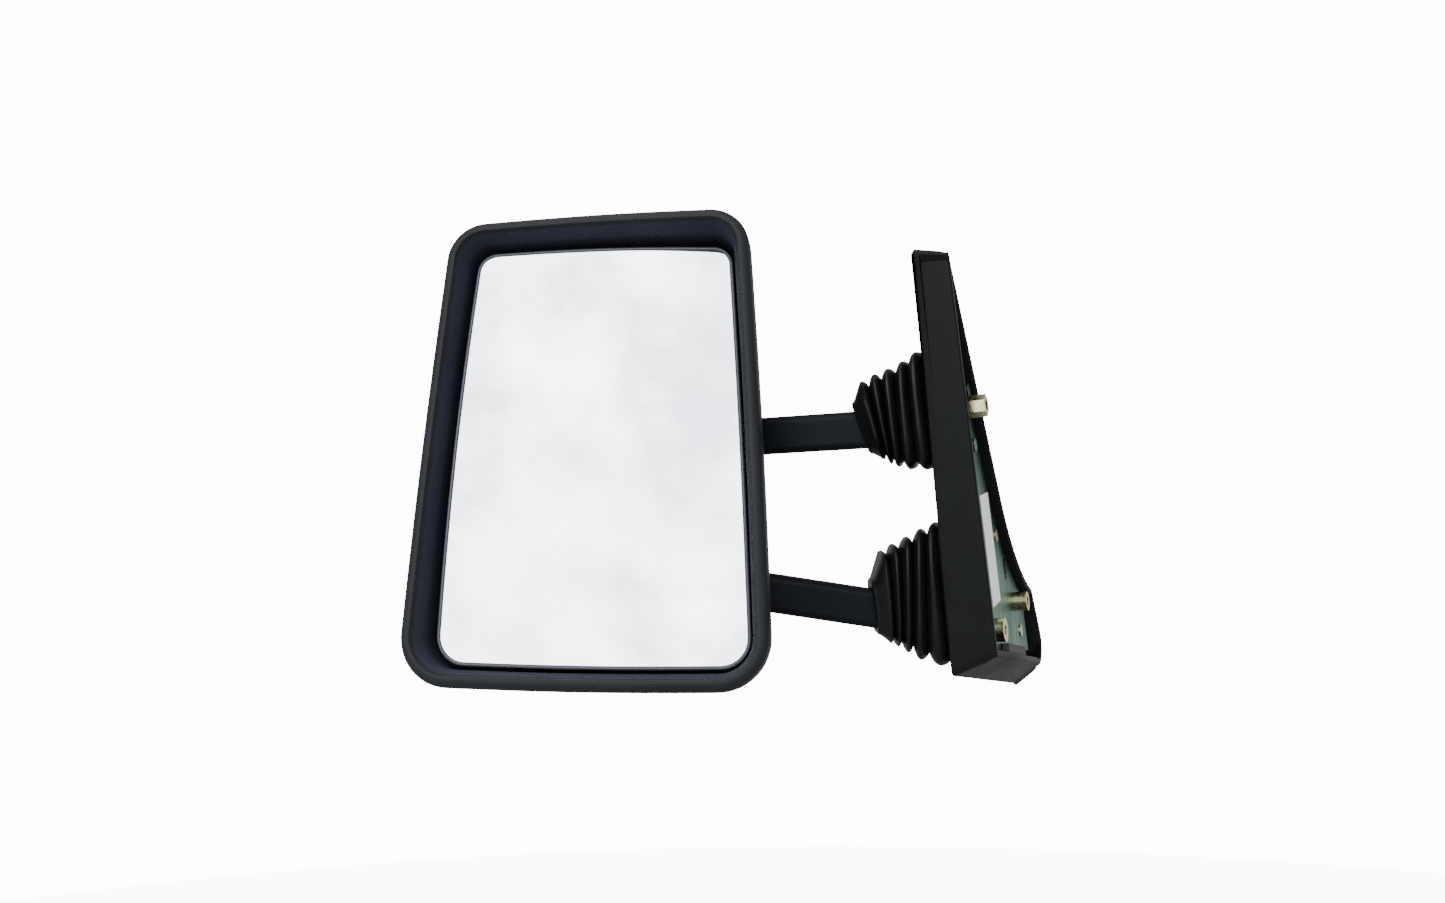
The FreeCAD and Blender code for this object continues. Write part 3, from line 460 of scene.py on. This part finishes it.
def rim_outline(places, inset):
    """Rounded four-cornered outline moved inwards, as (x, z) points that pair up between insets."""
    corners = [Vector(place) for place in places]
    arcs = []
    for index, corner in enumerate(corners):
        before = (corner - corners[index - 1]).normalized()
        after = (corners[(index + 1) % 4] - corner).normalized()
        turn = before.angle(after)
        inward = (after - before).normalized()
        radius = max(CORNER_RADII[index] - inset, TIGHTEST_SHARE * CORNER_RADII[index])
        moved = corner + inward * inset / math.cos(turn / 2)
        centre = moved + inward * radius / math.cos(turn / 2)
        first = math.atan2(-before.x, before.y)
        arcs.append([centre + radius * Vector((math.cos(first + turn * step / CORNER_STEPS),
                                               math.sin(first + turn * step / CORNER_STEPS)))
                     for step in range(CORNER_STEPS + 1)])
    points = []
    for index, arc in enumerate(arcs):
        points += arc
        start, end = arc[-1], arcs[(index + 1) % 4][0]
        normal = Vector((end.y - start.y, start.x - end.x)).normalized()
        for step in range(1, SIDE_STEPS):
            share = step / SIDE_STEPS
            points.append(start.lerp(end, share) + normal * SIDE_BULGE * math.sin(math.pi * share))
    return points


def rim_loop(inset, depth):
    """Loop of the head's shells."""
    return [HEAD.at(point.x, depth, point.y) for point in rim_outline(SHELL_CORNERS, inset)]


def flared_loop(inset, depth, flare):
    """Rim loop that swells sideways by 'flare' towards the lower outboard corner."""
    points = []
    for point in rim_outline(SHELL_CORNERS, inset):
        low = ease((-point.y - FLARE_LOW_START) / FLARE_LOW_LENGTH)
        side = ease((-point.x - FLARE_SIDE_START) / FLARE_SIDE_LENGTH)
        points.append(HEAD.at(point.x - flare * low * side, depth, point.y))
    return points


def head_rim():
    """Front frame: funnel-shaped inner wall, a fine step, a broad rounded lip and the outer wall."""
    front = FUNNEL_WALL + FUNNEL_STEP + LIP_START
    for step in range(1, LIP_STEPS + 1):
        turn = math.pi / 2 * step / LIP_STEPS
        front.append((LIP_WIDE * (1 - math.sin(turn)), LIP_DEEP * (1 - math.cos(turn)) + LIP_FRONT))
    loops = [rim_loop(inset, depth) for inset, depth in front]
    for inset, depth in OUTER_WALL:
        grown = ease((depth - FLARE_FRONT_START) / FLARE_FRONT_LENGTH)
        loops.append(flared_loop(inset, depth, FLARE * grown))
    loops += [rim_loop(inset, depth) for inset, depth in SEAM_RETURN]
    loops.append(loops[0])
    obj = loft("head_rim", loops, HOUSING, angle=50)
    # painted light: the funnel faces take the lighter, bluer copy of the housing black
    obj.data.materials.append(FUNNEL_PAINTED_LIGHT)
    funnel_faces = (len(FUNNEL_WALL) - 1) * len(loops[0])
    for polygon in obj.data.polygons[:funnel_faces]:
        polygon.material_index = 1
    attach(obj, "head")
    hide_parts("front_bezel")


def head_back():
    """Rear shell: side walls that draw in, a rounded shoulder and a softly crowned back."""
    profile = BACK_SEAM + BACK_SIDE
    for step in range(1, BACK_ARC_STEPS + 1):
        turn = math.pi / 2 * step / BACK_ARC_STEPS
        profile.append((BACK_ARC_INSET + BACK_ARC_WIDE * (1 - math.cos(turn)),
                        BACK_ARC_DEPTH + BACK_ARC_DEEP * math.sin(turn)))
    loops = []
    for inset, depth in profile:
        left = ease((FLARE_BACK_END - depth) / FLARE_BACK_LENGTH)
        loops.append(flared_loop(inset, depth, FLARE * left))
    edge = rim_outline(SHELL_CORNERS, profile[-1][0])
    for share, sunk in BACK_GROOVE + BACK_FLAT:
        depth = BACK_DEPTH + BACK_CROWN * (1 - share) - sunk
        loops.append([HEAD.at(point.x * share, depth, point.y * share) for point in edge])
    obj = loft("head_back", loops, HOUSING, angle=40, close_end=True)
    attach(obj, "head")
    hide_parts("rear_shell")


def canted(x, depth, z):
    """Place of a glass point: the glass is turned a little about its upright axis."""
    ahead = depth - PIVOT_DEPTH
    cos, sin = math.cos(GLASS_CANT), math.sin(GLASS_CANT)
    return HEAD.at(x * cos - ahead * sin, PIVOT_DEPTH + x * sin + ahead * cos, z)


def dome_loop(inset, behind, share=1.0):
    """Loop on the convex glass surface, or a set distance behind it, shrunk to a share of its size."""
    loop = []
    for point in rim_outline(SIGHT_CORNERS, inset):
        x, z = point.x * share, point.y * share
        loop.append(canted(x, GLASS_DEPTH + behind + (x * x + z * z) / (2 * GLASS_CURVE), z))
    return loop


def glass_face():
    """Convex mirror glass with a ground edge."""
    shares = [1.0 - step / GLASS_RINGS for step in range(GLASS_RINGS - 1)]
    loops = [dome_loop(GLASS_INSET, GLASS_THICK), dome_loop(GLASS_INSET, GROUND_EDGE)]
    loops += [dome_loop(GLASS_INSET + GROUND_EDGE, 0.0, share) for share in shares]
    obj = loft("glass_face", loops, MIRROR, angle=25, close_start=True, tip=canted(0, GLASS_DEPTH, 0))
    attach(obj, "glass")
    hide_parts("mirror_glass")


def carrier_tray():
    """Black tray round the glass: a thin rounded lip, a side wall and a stepped back."""
    loops = [dome_loop(inset, behind) for inset, behind in TRAY_EDGE]
    loops += [dome_loop(TRAY_BACK_INSET, behind, share) for share, behind in TRAY_BACK]
    # painted light: the tray takes the lighter, bluer copy of the black plastic
    obj = loft("carrier_tray", loops, CARRIER_PAINTED_LIGHT, angle=50, close_end=True)
    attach(obj, "glass")
    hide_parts("glass_carrier")


# ---------------------------------------------------------------- bellows

SIDES = ("upper", "lower")
HINGE_OUT = 45.0
HINGE_FORE = 4.0
HINGE_UP = {"upper": -7.0, "lower": -133.5}
ARM_HEAD = {"upper": (112.0, 66.0, 18.0), "lower": (112.0, 66.0, -91.5)}
NECK_REACH = 18.0
COVER_FACE = {"upper": 24.0, "lower": 27.0}
SECTION_STEPS = 96

# Crests of each bellows from the cover to the arm: reach from the hinge, half height, rise above the arm.
CRESTS = {
    "upper": [(-14.0, 43.0, 10.0), (-4.5, 39.8, 8.8), (3.6, 36.8, 7.2), (10.9, 33.6, 6.7),
              (16.7, 31.0, 6.5)],
    "lower": [(-8.0, 52.5, 11.5), (3.0, 48.0, 12.0), (12.0, 44.0, 13.0), (18.8, 38.5, 12.5),
              (25.4, 33.8, 11.2)],
}
SHOULDER = {"upper": (23.1, 27.0, 6.0), "lower": (31.5, 30.0, 9.0)}
CREST_STEPS = 16
CREST_POWER = 0.75
GROOVE_DEPTH = 6.2
WIDE_FIRST, WIDE_LAST = 22.5, 17.0

# Powers of the sections' superellipses: the higher, the squarer.
BOOT_POWER = 3.4
COLLAR_POWER = 4.4
BORE_POWER = 5.0

# Collar from the shoulder to the arm: share of its length, half width, share of the drop in height.
COLLAR = [(0.0, 17.0, 0.0), (0.06, 16.8, 0.05), (0.2, 15.8, 0.25), (0.55, 13.6, 0.68), (0.72, 12.5, 0.88),
          (0.84, 11.9, 0.96), (0.95, 11.5, 1.0)]
COLLAR_LENGTH = 9.2
COLLAR_HALF = 17.6
COLLAR_RISE = 1.2
COLLAR_SLANT = 0.30
SLANT_START = 4.0
BLEND_STRETCH = 1.15

# Bore that grips the arm: half width, half height, depth.
BORE_WIDE, BORE_HIGH, BORE_DEEP = 7.9, 13.4, 9.0
FOOT_SINK = 8.0
FOOT_INSET = 3.0


def arm_axes(side):
    """Frame at the end of an arm's neck: x towards the head, z up."""
    start = BASE.at(-HINGE_OUT, HINGE_FORE, HINGE_UP[side])
    end = HEAD.at(*ARM_HEAD[side])
    along = end - start
    level = (along - FOLD_AXIS * along.dot(FOLD_AXIS)).normalized()
    neck_end = start + level * NECK_REACH * MM
    forward = (end - neck_end).normalized()
    up = (FOLD_AXIS - forward * FOLD_AXIS.dot(forward)).normalized()
    return Axes(neck_end, forward, up.cross(forward), up)


def rounded_box(half_wide, half_high, rise, power):
    points = []
    for step in range(SECTION_STEPS):
        turn = 2 * math.pi * step / SECTION_STEPS
        cos, sin = math.cos(turn), math.sin(turn)
        points.append((half_wide * math.copysign(abs(cos) ** (2 / power), cos),
                       rise + half_high * math.copysign(abs(sin) ** (2 / power), sin)))
    return points


def bellows_frame(side):
    """Function that gives the section frame at a reach from the hinge along the arm."""
    arm = arm_axes(side)
    foot = Axes(BASE.at(-COVER_FACE[side], HINGE_FORE, HINGE_UP[side]), -BASE.x, -BASE.y, BASE.z)
    first = CRESTS[side][0][0]
    last = SHOULDER[side][0]

    def at(reach):
        share = min(max((reach - first) / (last - first), 0.0), 1.0)
        turn = ease(share)
        x = foot.x.lerp(arm.x, turn).normalized()
        z = foot.z.lerp(arm.z, turn)
        z = (z - x * z.dot(x)).normalized()
        straight = arm.origin + arm.x * (reach - NECK_REACH) * MM
        from_base = foot.origin + foot.x * (reach - first) * MM
        centre = from_base.lerp(straight, ease(share * BLEND_STRETCH))
        return Axes(centre, x, z.cross(x), z)

    return at


def bellows_stations(side):
    """Sections of a boot from the cover to the arm: reach, half width, half height, rise, power."""
    crests = CRESTS[side]
    first = crests[0][0]
    top_reach, top_half, top_rise = SHOULDER[side]
    stations = []
    for (reach, half, rise), (next_reach, next_half, next_rise) in zip(crests, crests[1:] + [SHOULDER[side]]):
        for step in range(CREST_STEPS):
            share = step / CREST_STEPS
            dip = GROOVE_DEPTH * (1 - abs(math.cos(math.pi * share)) ** CREST_POWER)
            place = mix(reach, next_reach, share)
            wide = mix(WIDE_FIRST, WIDE_LAST, (place - first) / (top_reach - first))
            stations.append((place, wide - dip, mix(half, next_half, share) - dip,
                             mix(rise, next_rise, share), BOOT_POWER))
    for share, wide, drop in COLLAR:
        stations.append((top_reach + COLLAR_LENGTH * share, wide, mix(top_half, COLLAR_HALF, drop),
                         mix(top_rise, COLLAR_RISE, drop), COLLAR_POWER))
    end_reach = top_reach + COLLAR_LENGTH
    stations.append((end_reach - 0.1, 11.0, COLLAR_HALF - 0.6, 0.9, COLLAR_POWER))
    stations.append((end_reach, 10.2, COLLAR_HALF - 1.6, 0.6, COLLAR_POWER))
    for reach in (end_reach, end_reach - BORE_DEEP):
        stations.append((reach, BORE_WIDE, BORE_HIGH, 0.0, BORE_POWER))
    return stations


def bellows(side):
    """Ribbed boot that grows from the arm to the cover, with round crests and narrow deep grooves."""
    at = bellows_frame(side)
    first, first_half, first_rise = CRESTS[side][0]
    end_reach = SHOULDER[side][0] + COLLAR_LENGTH
    foot = at(first)
    sunk = rounded_box(WIDE_FIRST - FOOT_INSET, first_half - FOOT_INSET, first_rise, BOOT_POWER)
    loops = [[foot.at(-FOOT_SINK, y, up) for y, up in sunk]]
    for reach, wide, half, rise, power in bellows_stations(side):
        here = at(reach)
        slant = COLLAR_SLANT * ease((reach - SLANT_START) / (end_reach - SLANT_START))
        loops.append([here.at(slant * up, y, up) for y, up in rounded_box(wide, half, rise, power)])
    obj = loft("bellows_%s_boot" % side, loops, RUBBER, angle=42)
    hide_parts("bellows_" + side)
    at(SHOULDER[side][0] - 2).origin
    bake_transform(obj)


# ---------------------------------------------------------------- base

COVER_REAR = -19.0
COVER_TOP = 101.0
COVER_CROWN = 6.0
COVER_LOW = -162.0
COVER_TAPER = 8.0
COVER_SKIRT = 12.0
SKIRT_GROWTH = 4.0
REAR_THICK = 31.0
FRONT_THICK = 17.0
LEAN = math.atan2(-FOLD_AXIS.y, FOLD_AXIS.z)

# Rounding of the sharp rear corners, and the share of it that its middle keeps from the corner.
COVER_CORNER = 3.0
CORNER_BEND = 0.3

# Front edge as (fore, up): a slope, then a hollow sweep out to the foot.
SLOPE_END = (60.0, -66.0)
SWEEP_MIDDLE = (92.0, -112.0)
SWEEP_END = (140.0, -145.0)
FOOT_FORE = 157.0
FOOT_HEIGHT = 26.0
FOOT_ROUND = 30.0
FOOT_ROUND_FORE, FOOT_ROUND_UP = 7.0, 9.0

# Profile of the shell: inset, share of its thickness, extra depth in mm.
COVER_INNER = [(6.4, 0.80, 0.0), (5.8, 0.5, 0.0), (5.3, 0.1, 0.0), (5.1, 0.0, 0.9), (4.7, 0.0, 0.3),
               (4.1, 0.0, 0.0)]
COVER_RIM = [(2.2, 0.0, 0.0), (1.2, 0.0, 0.15), (0.5, 0.0, 0.6), (0.1, 0.0, 1.4), (0.0, 0.0, 2.2)]
COVER_OUTER = [(0.0, 0.25, 0.0), (0.0, 0.5, 0.0), (0.0, 0.75, 0.0), (0.0, 0.94, 0.0), (0.15, 0.97, 0.0),
               (0.55, 0.99, 0.0), (1.3, 1.0, 0.0), (4.0, 1.0, 0.0), (9.0, 1.0, 0.0)]


def cover_outline(skirt, crown):
    """Sail outline of the base in its leaning plane, as (fore, up) points, starting low at the rear."""
    slope = math.tan(LEAN) + SKIRT_GROWTH * skirt / COVER_SKIRT / (FOOT_FORE - COVER_REAR)
    top = COVER_TOP + crown

    def low(fore):
        return COVER_LOW - slope * (fore - COVER_REAR) - skirt

    bend = COVER_CORNER * CORNER_BEND
    inner_rear = COVER_REAR + COVER_CORNER
    foot_rear = FOOT_FORE - FOOT_ROUND
    points = [(COVER_REAR, low(COVER_REAR) + COVER_CORNER)]
    points += line_points(points[-1], (COVER_REAR, top - COVER_CORNER), 40)
    points += arc_points(points[-1], (COVER_REAR + bend, top - bend), (inner_rear, top), 5)
    points += line_points(points[-1], SLOPE_END, 32)
    points += arc_points(points[-1], SWEEP_MIDDLE, SWEEP_END, 16)
    points += line_points(points[-1], (FOOT_FORE, low(FOOT_FORE) + FOOT_HEIGHT), 8)
    round_middle = (FOOT_FORE - FOOT_ROUND_FORE, low(FOOT_FORE) + FOOT_ROUND_UP)
    points += arc_points(points[-1], round_middle, (foot_rear, low(foot_rear)), 14)
    points += line_points(points[-1], (inner_rear, low(inner_rear)), 30)
    points += arc_points(points[-1], (COVER_REAR + bend, low(COVER_REAR) + bend), points[0], 5)
    return points[:-1]


def inset_outline(points, inset):
    """Move each outline point inwards along its own normal."""
    moved = []
    for index, point in enumerate(points):
        before = Vector(points[index - 1])
        after = Vector(points[(index + 1) % len(points)])
        along = (after - before).normalized()
        moved.append((point[0] + along.y * inset, point[1] - along.x * inset))
    return moved


def cover_loop(inset, depth, back):
    """Loop of the cover: depth runs from 0 at the door face to 1 at the outer face, back is in mm."""
    loop = []
    outline = cover_outline(COVER_SKIRT * depth, COVER_CROWN * depth)
    for fore, up in inset_outline(outline, inset):
        share = min(max((fore - COVER_REAR) / (FOOT_FORE - COVER_REAR), 0.0), 1.0)
        rise = (up - COVER_LOW) / (COVER_TOP - COVER_LOW)
        thick = mix(REAR_THICK, FRONT_THICK, share) - COVER_TAPER * rise
        loop.append(BASE.at(-thick * depth - back, fore, up))
    return loop


def base_cover():
    """Sail-shaped shell: open on the door side, with a rounded rim, side walls and a slanting outer skin."""
    loops = [cover_loop(inset, depth, back) for inset, depth, back in COVER_INNER + COVER_RIM + COVER_OUTER]
    obj = loft("base_sail", loops, COVER, angle=38, close_start=True, close_end=True)
    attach(obj, "base")
    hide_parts("base_cover")


# ---------------------------------------------------------------- stage

WHITE = (1.0, 1.0, 1.0, 1.0)
PAPER_GREY = (0.55, 0.55, 0.56, 1.0)
FLOOR_GLOW = 11.0
BACKDROP_GLOW = 14.0
FLOOR_DROP = 0.35
FLOOR_RADIUS = 2.0
FLOOR_SIDES = 64

# Lighting sky: a dim room, and a bright window round one direction (limits are cosines of the angle to it).
WINDOW_DIRECTION = Vector((0.14, -0.96, 0.24)).normalized()
WINDOW_OUTER, WINDOW_INNER = 0.76, 0.88
ROOM_STRENGTH, WINDOW_STRENGTH = 0.7, 7.4

LIGHT_TARGET = Vector((-0.12, -0.03, -0.03))

# Viewpoint of the photograph: place in metres, angles in degrees, lens and sensor in mm.
EYE = (0.1394, -0.6592, -0.1870)
EYE_YAW, EYE_PITCH, EYE_ROLL = 26.13, 13.58, -0.38
LENS = 25.66
SENSOR_WIDTH = 36.0


def split_by_ray(tree, lighting, seen, output):
    """Show one shader to the camera, and light the scene with the other."""
    path = tree.nodes.new("ShaderNodeLightPath")
    mix_shader = tree.nodes.new("ShaderNodeMixShader")
    tree.links.new(path.outputs["Is Camera Ray"], mix_shader.inputs["Fac"])
    tree.links.new(lighting, mix_shader.inputs[1])
    tree.links.new(seen, mix_shader.inputs[2])
    tree.links.new(mix_shader.outputs["Shader"], output.inputs["Surface"])


def floor_material():
    """Pale paper floor that the camera sees nearly as bright as the backdrop."""
    material = bpy.data.materials.new("floor_paper")
    material.use_nodes = True
    tree = material.node_tree
    tree.nodes.clear()
    output = tree.nodes.new("ShaderNodeOutputMaterial")
    glow = tree.nodes.new("ShaderNodeEmission")
    glow.inputs["Color"].default_value = WHITE
    glow.inputs["Strength"].default_value = FLOOR_GLOW
    paper = tree.nodes.new("ShaderNodeBsdfDiffuse")
    paper.inputs["Color"].default_value = PAPER_GREY
    split_by_ray(tree, paper.outputs["BSDF"], glow.outputs["Emission"], output)
    return material


def stage():
    """Pale floor well below the mirror, which hangs free as it would on a door."""
    height = CAD_BOX[0][2] - FLOOR_DROP
    bm = bmesh.new()
    turns = [2 * math.pi * step / FLOOR_SIDES for step in range(FLOOR_SIDES)]
    rim = [(FLOOR_RADIUS * math.cos(turn), FLOOR_RADIUS * math.sin(turn), height) for turn in turns]
    bm.faces.new([bm.verts.new(point) for point in rim])
    from_bmesh("floor", bm, floor_material())


def area_light(name, place, size, power):
    light = bpy.data.lights.new(name, "AREA")
    light.shape = "RECTANGLE"
    light.size, light.size_y = size
    light.energy = power
    obj = bpy.data.objects.new(name, light)
    obj.visible_camera = False
    obj.location = place
    obj.rotation_euler = (LIGHT_TARGET - Vector(place)).to_track_quat("-Z", "Y").to_euler()
    bpy.context.collection.objects.link(obj)


def lights():
    area_light("key_above", (-0.4, -0.5, 1.8), (1.4, 1.0), 11.0)
    area_light("side_right", (1.7, -0.7, 0.5), (0.9, 1.4), 4.0)
    area_light("side_left", (-1.8, -0.7, 0.5), (0.9, 1.4), 1.5)
    area_light("low_front", (0.9, -1.1, -0.75), (0.8, 0.8), 5.0)
    area_light("behind", (0.6, 1.9, 0.3), (1.2, 1.4), 3.0)


def sky():
    """White backdrop for the camera; for light, a dim room with one bright cloudy window of sky."""
    world = bpy.data.worlds.new("studio")
    world.use_nodes = True
    tree = world.node_tree
    tree.nodes.clear()
    output = tree.nodes.new("ShaderNodeOutputWorld")
    coords = tree.nodes.new("ShaderNodeTexCoord")
    dot = tree.nodes.new("ShaderNodeVectorMath")
    dot.operation = "DOT_PRODUCT"
    dot.inputs[1].default_value = WINDOW_DIRECTION
    tree.links.new(coords.outputs["Generated"], dot.inputs[0])
    window = tree.nodes.new("ShaderNodeMapRange")
    window.interpolation_type = "SMOOTHSTEP"
    window.inputs["From Min"].default_value = WINDOW_OUTER
    window.inputs["From Max"].default_value = WINDOW_INNER
    window.inputs["To Min"].default_value = ROOM_STRENGTH
    window.inputs["To Max"].default_value = WINDOW_STRENGTH
    tree.links.new(dot.outputs["Value"], window.inputs["Value"])
    clouds = tree.nodes.new("ShaderNodeTexNoise")
    clouds.inputs["Scale"].default_value = 5.0
    clouds.inputs["Detail"].default_value = 5.0
    tree.links.new(coords.outputs["Generated"], clouds.inputs["Vector"])
    tint = tree.nodes.new("ShaderNodeValToRGB")
    tint.color_ramp.elements[0].position = 0.35
    tint.color_ramp.elements[0].color = (0.84, 0.86, 0.89, 1.0)
    tint.color_ramp.elements[1].position = 0.68
    tint.color_ramp.elements[1].color = (1.0, 0.995, 0.985, 1.0)
    tree.links.new(clouds.outputs["Fac"], tint.inputs["Fac"])
    light = tree.nodes.new("ShaderNodeBackground")
    tree.links.new(tint.outputs["Color"], light.inputs["Color"])
    tree.links.new(window.outputs["Result"], light.inputs["Strength"])
    backdrop = tree.nodes.new("ShaderNodeBackground")
    backdrop.inputs["Color"].default_value = WHITE
    backdrop.inputs["Strength"].default_value = BACKDROP_GLOW
    split_by_ray(tree, light.outputs["Background"], backdrop.outputs["Background"], output)
    bpy.context.scene.world = world


def camera():
    """Viewpoint of the photograph: close, right of the head and a little below, looking up."""
    data = bpy.data.cameras.new("view")
    data.sensor_width = SENSOR_WIDTH
    data.lens = LENS
    data.clip_end = 200.0
    obj = bpy.data.objects.new("view", data)
    turn = (Matrix.Rotation(math.radians(EYE_YAW), 4, "Z")
            @ Matrix.Rotation(math.radians(90 + EYE_PITCH), 4, "X")
            @ Matrix.Rotation(math.radians(EYE_ROLL), 4, "Z"))
    obj.matrix_world = Matrix.Translation(EYE) @ turn
    bpy.context.collection.objects.link(obj)
    bpy.context.scene.camera = obj


dress_cad()
head_rim()
head_back()
glass_face()
carrier_tray()
for side in SIDES:
    bellows(side)
base_cover()
stage()
lights()
sky()
camera()

bpy.context.view_layer.update()
